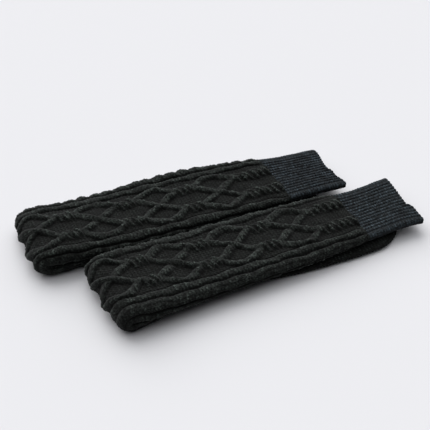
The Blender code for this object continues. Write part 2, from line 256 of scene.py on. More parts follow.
# A twist and its slanting strokes: the share of its height that is left between them, and how
# narrow their crests are
TWIST_HALF_WIDTH = 7.8
TWIST_HEIGHT = 4.8
STROKE_SPACING = 7.2
STROKE_SLANT = 0.45
STROKE_VALLEY = 0.1
STROKE_SHARPNESS = 1.5

# From the cable panel outwards: a ridge, a rope cable at the tube's side and the back's ridge
RIDGE_LEVELS = (34.3, 58.2)
RIDGE_HALF_WIDTH = 4.6
RIDGE_HEIGHT = 2.1
ROPE_LEVEL = 46.2
ROPE_HALF_WIDTH = 6.8
ROPE_HEIGHT = 3.2
ROPE_TURN = 15.0
ROPE_SLANT = 24.0

# Between a rope's turns: the shares left of its width and its height. How full its turns are, with
# smaller numbers fuller, and how its rows lean
ROPE_WAIST = 0.86
ROPE_VALLEY = 0.35
ROPE_FULLNESS = 0.7
ROPE_LEAN = 0.4

# The panel keeps its width up to PANEL_LIMIT. Beyond it the knitting draws in wherever the leg is
# narrower than FULL_HALF_WIDTH
PANEL_LIMIT = 29.0
FULL_HALF_WIDTH = 47.5

# Beside the cuff the ridges and ropes flatten: over what length, and the share that is left
SEAM_FADE = 8.0
SEAM_SHARE = 0.25

# Grooves drawn in beside the raised stretches: level, half width, depth
GROOVES = (
    (29.4, 1.4, 0.8),
    (39.2, 1.6, 1.3),
    (46.4, 1.2, 0.7),
    (53.3, 1.8, 1.6),
    (64.0, 2.2, 1.4),
)

# Pulled round the fold, the sides' raised stretches flatten: middle, reach, share that goes, and
# over what width beyond the panel this sets in
FOLD_FLATTENING = (-4.5, 34.0, 0.7, 12.0)

# Soft creases pressed into the upper layer: place, distance across, length, width, depth, slant
CREASES = {
    "near": (
        (196.0, -33.0, 62.0, 9.0, 1.3, -10.0),
        (104.0, 38.0, 46.0, 11.0, 0.9, 7.0),
        (58.0, -6.0, 40.0, 16.0, 0.8, 64.0),
    ),
    "far": (
        (172.0, 34.0, 58.0, 12.0, 1.2, -8.0),
        (78.0, -34.0, 44.0, 10.0, 1.0, 9.0),
        (226.0, -6.0, 36.0, 14.0, 0.8, 70.0),
    ),
}

# The cuff's ribs: how many show, how high they are outside and inside, how full they are, and their
# rows against the leg's
RIB_COUNT = 14
RIBS_ROUND_AN_EDGE = 2
RIB_HEIGHT = 1.0
INNER_RIB_HEIGHT = 0.12
RIB_FULLNESS = 0.8
RIB_COURSE_SHARE = 0.9

# The mouth: its rounded rim, how far it draws back between ribs, and from which share of the cuff on
RIM_RADIUS = 1.7
RIM_STEPS = 6
MOUTH_SCALLOP = 0.7
SCALLOP_START = 0.93

# How the mouth's edge runs: share across from the middle, near side first, and how far it draws back
MOUTHS = {
    "near": (
        (-1.0, 3.2),
        (-0.9, 1.6),
        (-0.7, 1.6),
        (-0.45, 0.9),
        (-0.34, 1.6),
        (-0.24, 5.0),
        (-0.1, 4.6),
        (0.1, 3.6),
        (0.4, 1.7),
        (0.8, 0.3),
        (0.92, 0.8),
        (1.0, 3.0),
    ),
    "far": (
        (-1.0, 3.0),
        (-0.9, 1.0),
        (-0.75, 1.6),
        (-0.5, 4.4),
        (-0.2, 4.2),
        (-0.08, 6.4),
        (0.1, 6.0),
        (0.3, 4.6),
        (0.6, 2.2),
        (0.8, 1.2),
        (0.92, 2.2),
        (1.0, 4.4),
    ),
}

# Slow waves of soft, hand-laid cloth. For each, its size and the lengths of its waves along and
# across: the upper layer's surface, the wandering of the leg's forms and of the cuff's rows
SWELL = 0.6
CUFF_SWELL = 0.3
SWELL_LENGTHS = (53.0, 37.0)
WANDER = 1.5
WANDER_LENGTHS = (71.0, 29.0)
ROW_WANDER = 0.35
ROW_LENGTHS = (43.0, 31.0)

# The same for heights: the share of a cord's that comes and goes, then the mean share and what
# comes and goes of all that is raised on the leg, and of the ribs
CORD_SINKING = 0.4
CORD_LENGTHS = (41.0, 27.0)
FORM_SHARES = (0.95, 0.25)
FORM_LENGTHS = (23.0, 13.0)
RIB_SHARES = (0.95, 0.4)
RIB_LENGTHS = (31.0, 19.0)

# A stitch: how full the legs of its V are, how steeply they run, how high it stays between rows, how
# far a purl row waves and how far its bumps dip, and the height from which a form is knitted smooth
STITCH_FULLNESS = 0.7
V_SLOPE = 1.2
V_VALLEY = 0.25
PURL_WAVE = 0.22
PURL_DIP = 0.3
SMOOTH_HEIGHT = 0.8

# A stitch's size, as a mean share and how far it differs from one stitch to the next
LEG_STITCHES = (0.8, 0.4)
FOOT_STITCHES = (0.85, 0.3)
CUFF_STITCHES = (0.85, 0.35)

# The share of a stitch's depth that is left on the foot and where the leg's layers touch, and of
# its height in the valley between two ribs
FOOT_STITCH_SHARE = 0.8
TOUCHING_STITCH_SHARE = 0.15
VALLEY_STITCH_SHARE = 0.3

# The cuff's stitches are pulled flat. Their mean and their spread: on the cuff's sides, and how
# much more on its top. They are measured from the height that stands for plain cloth
CUFF_STITCH_MEAN = (0.3, 0.06)
CUFF_STITCH_SPREAD = (0.1, 0.32)
PLAIN_STITCH = 0.4

# Painted shade and highlight: how far a place stands out of the cloth darkens the yarn in hollows
# and lightens it on raised places. How many points each way it is compared with, the height that
# makes a full difference, and on the cuff, a valley's painted shade and how much more light a rib
# is painted with
HOLLOW_REACH = 5
HOLLOW_DEPTH = 1.4
RIB_SHADE_AND_HIGHLIGHT = (-0.5, 0.8)

# Painted shade on the purl ground, sunk between the raised forms: how much darker it is painted,
# and the share of this that goes beside the cuff, over what length
PURL_PAINTED_SHADE = 0.38
SHADE_LOSS = 0.8
SHADE_FADE = 16.0

# A shift along and across, so that a stitch's dye doesn't follow its size
DYE_SHIFT = (7.0, 3.0)

# The toe rounds off in steps of this many degrees, and bulges by this share of its half height
TOE_STEP = 15.0
TOE_BULGE = 0.6

# Steps of the meshes
POINTS_A_WALE = 4
LEG_WALES = 20
HIDDEN_COLUMNS = 9
FOOT_WALES = 50
ROWS_A_COURSE = 5
LOWER_ROWS_A_COURSE = 3
FOOT_ROWS_A_COURSE = 4
INNER_ROWS = 18
ROWS_AN_INNER_FOOT_ROW = 12
SHOWN_RIB_STEP = 0.2
HIDDEN_RIB_STEP = 1.0 / 3.0
OUTLINE_SAMPLES = 400

# The yarn: the size of its heather, of the patches where its dye took more or less, and of its
# loose fibres, which are drawn coarser than they are so that they show, and how far they stand out
HEATHER_SIZE = 1.7857
PATCH_SIZE = 25.0
FIBRE_SIZE = 0.8
FIBRE_RISE = 0.4

# What makes the yarn darker or lighter: the range that each is read over, and the tones at its
# ends. X is the stitch's height, which paints shade into the gaps between stitches and highlight
# onto their tops, Y how far the place stands above the cloth round it, which paints shade into
# hollows and onto the purl ground and highlight onto raised forms, and Z the dye of the one stitch
HEATHER_TONES = (0.36, 0.66, 0.1, 2.3)
PATCH_TONES = (0.3, 0.7, 0.85, 1.15)
STITCH_SHADE_AND_DYE = {
    "X": (0.05, 0.95, 0.05, 3.6),
    "Y": (-1.0, 1.0, 0.1, 2.3),
    "Z": (-1.0, 1.0, 0.5, 1.5),
}
# The darkest colour that painted shade draws the yarn towards
PAINTED_SHADE_COLOUR = "040403"

# The camera: focal length in pixels of the frame, and where it looks from
FRAME_PIXELS = 430
FOCAL_PIXELS = 1050.0
CAMERA_AZIMUTH = -22.49
CAMERA_ELEVATION = 42.62
CAMERA_DISTANCE = 1144.1
CAMERA_TARGET = (6.4, 31.9, 0.0)
SENSOR_WIDTH = 36.0

# The lights: the surround's colour, where the softbox and the key light stand, from where to where
# towards its middle the softbox brightens and how much, and the key light's spread in degrees
SURROUND_COLOUR = "F4F6FA"
SOFTBOX_WAY = (0.1, 0.62, 0.78)
SOFTBOX_RANGE = (0.12, 1.0)
SOFTBOX_PEAK = 1.87
KEY_WAY = (-0.08, 1.1, 1.0)
KEY_SPREAD = 60.0

# The floor, in metres: how far it reaches, and how far it lies under the socks, so that the two
# don't share one plane
FLOOR_REACH = 6.0
FLOOR_DROP = 0.0002


def linear(hex_colour):
    """An sRGB hex colour as linear red, green and blue."""
    found = []
    for k in (0, 2, 4):
        value = int(hex_colour[k:k + 2], 16) / 255.0
        found.append(value / 12.92 if value <= 0.04045 else ((value + 0.055) / 1.055) ** 2.4)
    return tuple(found)


class KnitSettings(bpy.types.PropertyGroup):
    """Sizes and colours of the knitting."""

    wale: bpy.props.FloatProperty(
        name="Wale", description="Width of one column of stitches",
        default=0.0034, min=0.0015, max=0.006, precision=4, unit="LENGTH")
    course: bpy.props.FloatProperty(
        name="Course", description="Height of one row of stitches",
        default=0.0036, min=0.0015, max=0.006, precision=5, unit="LENGTH")
    stitch_depth: bpy.props.FloatProperty(
        name="Stitch depth", description="How far a stitch stands out of the cloth",
        default=0.0012, min=0.0, max=0.002, precision=4, unit="LENGTH")
    body_colour: bpy.props.FloatVectorProperty(
        name="Leg and foot yarn", description="Charcoal yarn of the cabled leg and the foot",
        default=linear("111311"), size=3, min=0.0, max=1.0, subtype="COLOR")
    rib_colour: bpy.props.FloatVectorProperty(
        name="Rib yarn", description="Charcoal yarn of the cuff, slightly bluer where it is stretched",
        default=linear("15191B"), size=3, min=0.0, max=1.0, subtype="COLOR")
    nap: bpy.props.FloatProperty(
        name="Nap", description="How much light the fibres that stand out of the yarn catch",
        default=0.05, min=0.0, max=1.0, subtype="FACTOR")


class StudioSettings(bpy.types.PropertyGroup):
    """The floor and the lights."""

    floor_colour: bpy.props.FloatVectorProperty(
        name="Floor", description="Pale seamless floor",
        default=linear("D3D2D3"), size=3, min=0.0, max=1.0, subtype="COLOR")
    key_strength: bpy.props.FloatProperty(
        name="Key light", description="Strength of the soft light from behind",
        default=2.05, min=0.0, max=50.0)
    sky_strength: bpy.props.FloatProperty(
        name="Surround", description="Strength of the even light from all round",
        default=1.03, min=0.0, max=5.0)


def ease(x):
    """Rises smoothly from 0 to 1 as x does."""
    x = np.clip(x, 0.0, 1.0)
    return x * x * (3.0 - 2.0 * x)


def rising(lowest, x):
    """Rises from its lowest share to 1 as x does from 0."""
    return lowest + (1.0 - lowest) * x


def varied(shares, x):
    """A mean share, and what comes and goes with x."""
    return shares[0] + shares[1] * x


def dome(distance, half_width):
    """A round bump, 1 in its middle and 0 from half_width on."""
    x = np.minimum(1.0, np.abs(distance) / half_width)
    return (1.0 - x * x) ** 1.5


def plump(distance, half_width):
    """A bump like a filled cord, with steep sides."""
    x = np.minimum(1.0, np.abs(distance) / half_width)
    return (1.0 - x * x) ** 0.7


def read_rows(rows, places):
    """Every column of a table at these places, on smooth curves through its rows."""
    table = np.array(rows, dtype=float)
    at = table[:, 0]
    values = table[:, 1:]
    places = np.clip(np.asarray(places, dtype=float), at[0], at[-1])
    last = len(at) - 1
    before = np.maximum(np.arange(last + 1) - 1, 0)
    after = np.minimum(np.arange(last + 1) + 1, last)
    slopes = (values[after] - values[before]) / (at[after] - at[before])[:, None]
    k = np.clip(np.searchsorted(at, places) - 1, 0, last - 1)
    step = (at[k + 1] - at[k])[:, None]
    x = (places[:, None] - at[k][:, None]) / step
    found = (
        values[k] * (1.0 + 2.0 * x) * (1.0 - x) ** 2
        + slopes[k] * step * x * (1.0 - x) ** 2
        + values[k + 1] * x * x * (3.0 - 2.0 * x)
        + slopes[k + 1] * step * x * x * (x - 1.0)
    )
    return found.T


def knit_stitch(wale, course):
    """Height, 0 to 1, of smooth knitting, where each wale is a column of V shapes."""
    aside = np.abs(wale - np.floor(wale) - 0.5)
    across = np.clip(np.sin(2.0 * np.pi * aside), 0.0, 1.0) ** STITCH_FULLNESS
    along = 0.5 + 0.5 * np.cos(2.0 * np.pi * (course - V_SLOPE * aside))
    return across * rising(V_VALLEY, along)


def purl_stitch(wale, course):
    """Height, 0 to 1, of the reverse of the knitting, where bumps interlock in wavy rows."""
    row = course + PURL_WAVE * np.cos(2.0 * np.pi * wale)
    bump = 1.0 - PURL_DIP + PURL_DIP * np.cos(4.0 * np.pi * wale)
    return (0.5 + 0.5 * np.cos(2.0 * np.pi * row)) * bump


def unevenness(wale, course):
    """A value from -1 to 1 that differs from one stitch to the next."""
    # Large, odd factors scatter neighbouring stitches over the whole range
    value = np.sin(12.9898 * np.floor(wale) + 78.233 * np.floor(course)) * 43758.5453
    return 2.0 * (value - np.floor(value)) - 1.0


def stitch_size(shares, wale, course):
    """Size of each stitch, from a mean share and how far it differs from one to the next."""
    return varied(shares, unevenness(wale, course))


def stitch_dye(wale, course):
    """How dark or light the yarn of each stitch is dyed, from -1 to 1."""
    return unevenness(wale + DYE_SHIFT[0], course + DYE_SHIFT[1])


class Relief:
    """Height of the knitting at many points, with the stitch coordinates there. A higher form
    laid over it takes its place."""

    def __init__(self, shape, wale, course):
        self.height = np.zeros(shape)
        self.wale = np.broadcast_to(wale, shape).copy()
        self.course = np.broadcast_to(course, shape).copy()
        self.smooth = np.zeros(shape)

    def lay(self, height, wale, course, mask=True):
        """Lays smooth knitting of this height over the ground wherever it is higher."""
        shown = (height > self.height) & mask
        self.wale = np.where(shown, wale, self.wale)
        self.course = np.where(shown, course, self.course)
        self.smooth = np.where(shown, np.clip(height / SMOOTH_HEIGHT, 0.0, 1.0), self.smooth)
        self.height = np.where(shown, height, self.height)

    def stitches(self):
        """Height, 0 to 1, of the stitches alone."""
        smooth = knit_stitch(self.wale, self.course)
        ground = purl_stitch(self.wale, self.course)
        height = self.smooth * smooth + (1.0 - self.smooth) * ground
        return height * stitch_size(LEG_STITCHES, self.wale, self.course)


def twist(along, level):
    """Two cords twisted round each other, as slanting strokes on a round ridge."""
    stroke = np.abs(np.cos(np.pi * (along + STROKE_SLANT * level) / STROKE_SPACING))
    share = rising(STROKE_VALLEY, stroke ** STROKE_SHARPNESS)
    return TWIST_HEIGHT * plump(level, TWIST_HALF_WIDTH) * share


def lay_cable_panel(relief, s, level, wale, course):
    """Lays the travelling cords and the twists on the purl ground."""
    node = FIRST_NODE + PERIOD * np.floor((s - FIRST_NODE) / PERIOD)
    node = np.minimum(node, LAST_NODE)
    travel_start = node + TWIST_HALF_LENGTH
    travel_end = np.minimum(node + PERIOD - TWIST_HALF_LENGTH, CLOSING_TWIST_START)
    travel = np.clip((s - travel_start) / (travel_end - travel_start), 0.0, 1.0)
    slant = np.cos(np.arctan2(2.0 * TWIST_LEVEL, travel_end - travel_start))
    # The outer cords bow out soon after a twist and turn gently at the panel's edge
    swing = 1.0 - np.abs(2.0 * travel - 1.0)
    outer = TWIST_LEVEL + (PANEL_EDGE_LEVEL - TWIST_LEVEL) * swing * (1.5 - 0.5 * swing)
    crossing = dome(travel - 0.5, CROSSING_REACH)
    panel = np.abs(level) < RIDGE_LEVELS[0] - RIDGE_HALF_WIDTH
    cords = (
        (TWIST_LEVEL * (2.0 * travel - 1.0), 1.0 - CROSSING_DIP * crossing),
        (TWIST_LEVEL * (1.0 - 2.0 * travel), 1.0 + CROSSING_LIFT / CORD_HEIGHT * crossing),
        (outer, 1.0),
        (-outer, 1.0),
    )
    for middle, lift in cords:
        aside = (level - middle) * slant
        sinking = CORD_SINKING * swell(s, level, CORD_LENGTHS, start=2.0)
        height = CORD_HEIGHT * (lift + sinking) * plump(aside, CORD_HALF_WIDTH)
        relief.lay(height, aside / wale, s / course, panel)
    for after in (0.0, 1.0):
        along = s - node - after * PERIOD
        reach = TWIST_HALF_LENGTH + TWIST_FADE / 2.0 - np.abs(along)
        if after:
            reach = np.where(s > CLOSING_NODE, TWIST_FADE, reach)
        fade = ease(reach / TWIST_FADE)
        for row in (TWIST_LEVEL, -TWIST_LEVEL):
            aside = level - row
            height = twist(along, aside) * fade
            # A quarter of a column on, so that a stroke's crest is one leg of the stitches' V
            strand = (along + STROKE_SLANT * aside) / STROKE_SPACING + 0.25
            relief.lay(height, strand, (aside - STROKE_SLANT * along) / course, panel)


def leg_relief(s, side_level, near_rope, wale, course):
    """The knitting of the leg at places s and pattern levels, alike on both sides of the panel."""
    shape = np.broadcast(s, side_level).shape
    relief = Relief(shape, side_level / wale, s / course)
    lay_cable_panel(relief, s, side_level, wale, course)
    side = np.abs(side_level)
    columns = side / wale
    middle, reach, share, onset = FOLD_FLATTENING
    fade = rising(SEAM_SHARE, ease((SEAM_PLACE - s) / SEAM_FADE))
    fade = fade * (1.0 - share * dome(s - middle, reach) * ease((side - PANEL_LIMIT) / onset))
    for level in RIDGE_LEVELS:
        relief.lay(fade * RIDGE_HEIGHT * plump(side - level, RIDGE_HALF_WIDTH), columns, s / course)
    phase = s / ROPE_TURN + (side - ROPE_LEVEL) / ROPE_SLANT
    strand = np.abs(np.cos(np.pi * phase)) ** ROPE_FULLNESS
    half_width = ROPE_HALF_WIDTH * rising(ROPE_WAIST, strand)
    rope = plump(side - ROPE_LEVEL, half_width) * rising(ROPE_VALLEY, strand)
    rope = rope * np.where(side_level < 0.0, near_rope, 1.0)
    relief.lay(fade * ROPE_HEIGHT * rope, columns, s / course + ROPE_LEAN * columns)
    for level, half_width, depth in GROOVES:
        relief.height -= fade * depth * dome(side - level, half_width)
    return relief


def crease_depth(creases, s, t):
    """How far the soft creases press the upper layer down."""
    depth = 0.0
    for place, across, length, width, deepest, slant in creases:
        turn = math.radians(slant)
        along = (s - place) * math.cos(turn) + (t - across) * math.sin(turn)
        aside = (t - across) * math.cos(turn) - (s - place) * math.sin(turn)
        depth = depth + deepest * dome(along, length / 2.0) * dome(aside, width / 2.0)
    return depth


def swell(s, t, lengths, start):
    """A slow, uneven wave over the cloth, from -1 to 1. Its start sets where in it s and t begin."""
    along = np.sin(2.0 * np.pi * s / lengths[0] + start)
    across = np.cos(2.0 * np.pi * t / lengths[1] + 2.0 * start)
    slanting = np.sin(2.0 * np.pi * (s / lengths[1] + t / lengths[0]) + 3.0 * start)
    return 0.6 * (along * across) + 0.4 * slanting


def hollow_shade_and_highlight(height):
    """How far each point stands above the cloth round it, from -1 in a hollow to 1 on a cord. It paints
    shade into hollows and highlight onto cords in the yarn's colour.
    """
    level = height
    for axis in (0, 1):
        level = sum(np.roll(level, k, axis) for k in range(-HOLLOW_REACH, HOLLOW_REACH + 1))
        level = level / (2.0 * HOLLOW_REACH + 1.0)
    return np.clip((height - level) / HOLLOW_DEPTH, -1.0, 1.0)


class Sections:
    """The sections of a flattened tube, one for each ring, all as columns of numbers. Groove is the
    share of the full rounding that the edges have on the hidden side."""

    def __init__(self, near, far, thickness, groove=1.0):
        self.half = thickness / 2.0
        roundness = 1.0 + (EDGE_ROUNDNESS - 1.0) * groove
        self.edge = np.minimum(roundness * self.half, EDGE_LIMIT * (near + far))
        self.flat = (far + near) / 2.0 - self.edge
        self.middle = (far - near) / 2.0
        self.quarter = np.pi / 2.0 * np.sqrt((self.edge ** 2 + self.half ** 2) / 2.0)
        self.groove = groove
        self.hidden_flat = self.flat + self.edge * (1.0 - groove)
        self.half_round = self.flat + 2.0 * self.quarter + self.hidden_flat

    def points(self, way):
        """t, n, their normal and how well the point shows, at these ways round from the middle of
        the shown face. n runs from the hidden side to the shown side."""
        side = np.sign(way)
        past = np.abs(way) - self.flat
        angle = np.clip(past / self.quarter * np.pi / 2.0, 0.0, np.pi)
        rounding = np.where(angle > np.pi / 2.0, self.groove, 1.0)
        reach = 1.0 - rounding * (1.0 - np.sin(angle))
        behind = np.maximum(past - 2.0 * self.quarter, 0.0)
        t_round = self.flat + self.edge * reach
        t_hidden = self.hidden_flat - behind
        t = np.where(past < 0.0, way, side * np.where(behind > 0.0, t_hidden, t_round)) + self.middle
        normal_n = np.cos(angle) * self.edge * np.where(behind > 0.0, 1.0, rounding)
        normal_t = side * np.sin(angle) * self.half
        length = np.maximum(np.hypot(normal_n, normal_t), 1e-6)
        shown = ease((np.pi - angle) / (np.pi / 2.0 * np.maximum(self.groove, 0.3)))
        return t, self.half * np.cos(angle), normal_t / length, normal_n / length, shown


def column(values):
    """A list as a column, so that it spreads over the points of its ring."""
    return np.asarray(values, dtype=float)[:, None]


def leg_side_view(name, step):
    """The leg's rings in side view: inner and outer points, edges, sinking and pattern place, from
    the seam along the upper layer, round the fold and back to the ankle."""
    turn = UPPER_HEIGHTS[0][0]
    count = round((SEAM_PLACE - turn) / step)
    s = np.append(SEAM_PLACE + HALF_GAP, np.linspace(SEAM_PLACE, turn, count + 1))
    top, underside = read_rows(UPPER_HEIGHTS, s)
    near, far, sunk = read_rows(UPPER_EDGES[name], s)
    upper = np.stack([s, underside, s, top, near, far, sunk, s], 1)
    count = round(PATTERN_RADIUS * math.pi / step)
    angle = np.pi * np.arange(1, count) / count
    ones = np.ones_like(angle)
    drawn_in = TURN_DRAWN_IN * np.sin(angle)
    _, near, far, sunk = UPPER_EDGES[name][0]
    fold = np.stack([
        turn - TURN_INNER_RADIUS * np.sin(angle),
        TURN_OUTER_RADIUS + TURN_INNER_RADIUS * np.cos(angle),
        turn - TURN_OUTER_RADIUS * np.sin(angle),
        TURN_OUTER_RADIUS + TURN_OUTER_RADIUS * np.cos(angle),
        near - drawn_in,
        far - drawn_in,
        sunk * ones,
        turn - PATTERN_RADIUS * angle,
    ], 1)
    count = round((ANKLE_PLACE - turn) / step * LOWER_ROWS_A_COURSE / ROWS_A_COURSE)
    s = np.append(np.linspace(turn, ANKLE_PLACE, count + 1), ANKLE_PLACE + HALF_GAP)
    top = read_rows(LOWER_HEIGHTS, s)[0]
    near, far = read_rows(LOWER_EDGES[name], s)
    zero = np.zeros_like(s)
    lower = np.stack([s, top, s, zero, near, far, zero, turn - PATTERN_RADIUS * math.pi - (s - turn)], 1)
    return np.concatenate([upper, fold, lower])


def leg_points(name, knit, inside):
    """Points of the leg's outside, or of its plain inside, as rings of (s, t, z), and what colours the
    yarn there: the stitch's height and how far the place stands above the cloth round it, which paint
    shade and highlight into it, and its dye."""
    sock = SOCKS[name]
    wale = knit.wale / MM
    course = knit.course / MM
    wall = LEG_WALL if inside else 0.0
    rows = leg_side_view(name, course / ROWS_A_COURSE)
    if inside:
        rows = rows[np.linspace(0, len(rows) - 1, INNER_ROWS).round().astype(int)][::-1]
    inner_s, inner_z, outer_s, outer_z, near, far, sunk, place = (column(values) for values in rows.T)
    thickness = np.hypot(outer_s - inner_s, outer_z - inner_z)
    n_s = (outer_s - inner_s) / thickness
    n_z = (outer_z - inner_z) / thickness
    half_width = (near + far) / 2.0
    groove = column(read_rows(GROOVE_SHARES, inner_s[:, 0])[0])
    sections = Sections(near - SIDE_ALLOWANCE, far - SIDE_ALLOWANCE, thickness, groove)

    # Fine columns cover the shown face and both edges, and a few close the ring behind
    level = np.arange(-LEG_WALES * POINTS_A_WALE, LEG_WALES * POINTS_A_WALE + 1) * wale / POINTS_A_WALE
    drawn_in = np.sqrt((FULL_HALF_WIDTH - PANEL_LIMIT) / (half_width - PANEL_LIMIT))
    beyond = np.maximum(np.abs(level) - PANEL_LIMIT, 0.0)
    shown_way = np.sign(level) * (np.minimum(np.abs(level), PANEL_LIMIT) + beyond / drawn_in)
    shown_way = shown_way + sock["panel_middle"] - sections.middle
    share = np.arange(1, HIDDEN_COLUMNS + 1) / HIDDEN_COLUMNS
    far_way = shown_way[:, -1:] + (sections.half_round - shown_way[:, -1:]) * share
    near_way = shown_way[:, :1] - (sections.half_round + shown_way[:, :1]) * share[-2::-1]
    way = np.concatenate([shown_way, far_way, near_way], 1)
    hidden_level = LEG_WALES * wale * (1.0 + share)
    level = np.concatenate([level, hidden_level, -hidden_level[-2::-1]])[None, :]

    if inside:
        inset = SIDE_ALLOWANCE + wall
        sections_in = Sections(near - inset, far - inset, thickness - 2.0 * wall, groove)
        way = way * sections_in.half_round / sections.half_round
        t, n, normal_t, normal_n, shown = sections_in.points(way)
        yarn = np.full(t.shape + (3,), PLAIN_STITCH)
        raised = 0.0
    else:
        # Each sock's own bow and heading start its waves, so that the two aren't alike
        t, n, normal_t, normal_n, shown = sections.points(way)
        wander = WANDER * swell(place, level, WANDER_LENGTHS, start=sock["heading"])
        relief = leg_relief(place, level + wander, sock["near_rope"], wale, course)
        stitch = relief.stitches()
        waves = swell(place, level, FORM_LENGTHS, start=2.0 * sock["heading"])
        raised = shown * relief.height * varied(FORM_SHARES, waves)
        touching = rising(TOUCHING_STITCH_SHARE, shown)
        raised = raised + touching * stitch * knit.stitch_depth / MM
        facing_up = np.maximum(n_z, 0.0) * np.maximum(normal_n, 0.0)
        raised = raised - facing_up * crease_depth(CREASES[name], place, t)
        raised = raised + facing_up * SWELL * swell(place, t, SWELL_LENGTHS, start=sock["bow"])
        # The underside is pressed flat by the surface
        raised = raised * (1.0 - ease(-n_z) * np.maximum(normal_n, 0.0))
        # Painted shade: the purl ground is painted darker, less so beside the cuff
        beside_seam = ease((place - SEAM_PLACE) / SHADE_FADE + 1.0)
        shade = PURL_PAINTED_SHADE * (1.0 - SHADE_LOSS * beside_seam)
        # Painted shade in hollows and painted highlight on raised forms, by how far each stands out
        painted_shade_and_highlight = hollow_shade_and_highlight(relief.height) - shade * (1.0 - relief.smooth)
        yarn = np.stack([stitch, painted_shade_and_highlight, stitch_dye(relief.wale, relief.course)], 2)
    # Towards a sunken far edge the top comes down, and the underside stays
    n = n - sunk * np.maximum(n_z, 0.0) * ease(t / half_width) * (n / thickness + 0.5)
    middle_s = (inner_s + outer_s) / 2.0
    middle_z = (inner_z + outer_z) / 2.0
    t = t + raised * normal_t
    n = n + raised * normal_n
    z = np.maximum(middle_z + n * n_z, wall / 2.0)
    return np.stack([middle_s + n * n_s, t, z], 2), yarn


def foot_points(name, knit, inside):
    """Points of the plain foot and its rounded, grafted toe."""
    course = knit.course / MM
    first = ANKLE_PLACE + HALF_GAP
    step = course / FOOT_ROWS_A_COURSE
    wall = FOOT_WALL if inside else 0.0
    s = np.linspace(first, TOE_PLACE - wall, round((TOE_PLACE - first) / step) + 1)
    top = read_rows(LOWER_HEIGHTS, s)[0]
    near, far = read_rows(LOWER_EDGES[name], s)
    angle = np.radians(np.arange(TOE_STEP, 90.0, TOE_STEP))
    closing = np.cos(angle)
    reach = (top[-1] - 2.0 * wall) / 2.0
    s = np.append(s, s[-1] + reach * TOE_BULGE * np.sin(angle))
    middle_z = np.append(top / 2.0, np.full(len(angle), top[-1] / 2.0))
    top = np.append(top, 2.0 * wall + (top[-1] - 2.0 * wall) * closing)
    near = np.append(near, near[-1] - reach * (1.0 - closing))
    far = np.append(far, far[-1] - reach * (1.0 - closing))
    if inside:
        toe = len(s) - len(angle)
        keep = np.append(np.arange(0, toe, ROWS_AN_INNER_FOOT_ROW), np.arange(toe, len(s)))
        s, top, near, far, middle_z = (values[keep][::-1] for values in (s, top, near, far, middle_z))
    s, top, near, far, middle_z = (column(values) for values in (s, top, near, far, middle_z))
    sections = Sections(near - wall, far - wall, top - 2.0 * wall)
    count = FOOT_WALES * POINTS_A_WALE
    share = 2.0 * np.arange(count) / count
    way = np.where(share > 1.0, share - 2.0, share)[None, :] * sections.half_round
    t, n, normal_t, normal_n, _ = sections.points(way)
    s = np.broadcast_to(s, t.shape)
    z = middle_z + n
    if inside:
        return np.stack([s, t, z], 2), np.full(t.shape + (3,), PLAIN_STITCH)
    columns = np.broadcast_to(np.arange(count)[None, :] / POINTS_A_WALE, t.shape)
    rows = s / course
    stitch = knit_stitch(columns, rows) * stitch_size(FOOT_STITCHES, columns, rows)
    raised = knit.stitch_depth / MM * FOOT_STITCH_SHARE * (stitch - 0.5)
    t = t + raised * normal_t
    z = np.maximum(z + raised * normal_n, 0.0)
    # The stitch's height paints shade into the gaps between stitches and highlight onto their tops
    yarn = np.stack([stitch, np.zeros(t.shape), stitch_dye(columns, rows)], 2)
    return np.stack([s, t, z], 2), yarn


def cuff_columns():
    """Rib coordinates round the cuff, one unit for each wale, with finer steps where it shows."""
    wales = 2 * RIB_COUNT
    round_edge = 2 * RIBS_ROUND_AN_EDGE
    last = 2 * (wales + round_edge) - SHOWN_RIB_STEP / 2.0
    shown = np.arange(0.0, wales + round_edge, SHOWN_RIB_STEP)
    hidden = np.arange(wales + round_edge, 2 * wales + round_edge, HIDDEN_RIB_STEP)
    near_edge = np.arange(2 * wales + round_edge, last, SHOWN_RIB_STEP)
    return np.concatenate([shown, hidden, near_edge])


def cuff_section(columns, near, far, thickness):
    """Points of the cuff's section by rib coordinate, from the near side over the top."""
    sections = Sections(near, far, thickness)
    wales = 2.0 * RIB_COUNT
    edge_wales = 2.0 * RIBS_ROUND_AN_EDGE
    far_edge = np.clip(columns - wales, 0.0, edge_wales) / edge_wales
    near_edge = np.clip(columns - 2.0 * wales - edge_wales, 0.0, edge_wales) / edge_wales
    across_top = np.clip(columns / wales, 0.0, 1.0)
    across_back = np.clip((columns - wales - edge_wales) / wales, 0.0, 1.0)
    way = (2.0 * across_top - 1.0) * sections.flat + far_edge * 2.0 * sections.quarter
    way = way + 2.0 * across_back * sections.hidden_flat
    second = columns > 1.5 * wales + edge_wales
    edge_ways = 2.0 * sections.quarter * (1.0 - near_edge)
    near_way = -(sections.flat + edge_ways + 2.0 * (1.0 - across_back) * sections.hidden_flat)
    return sections.points(np.where(second, near_way, way))


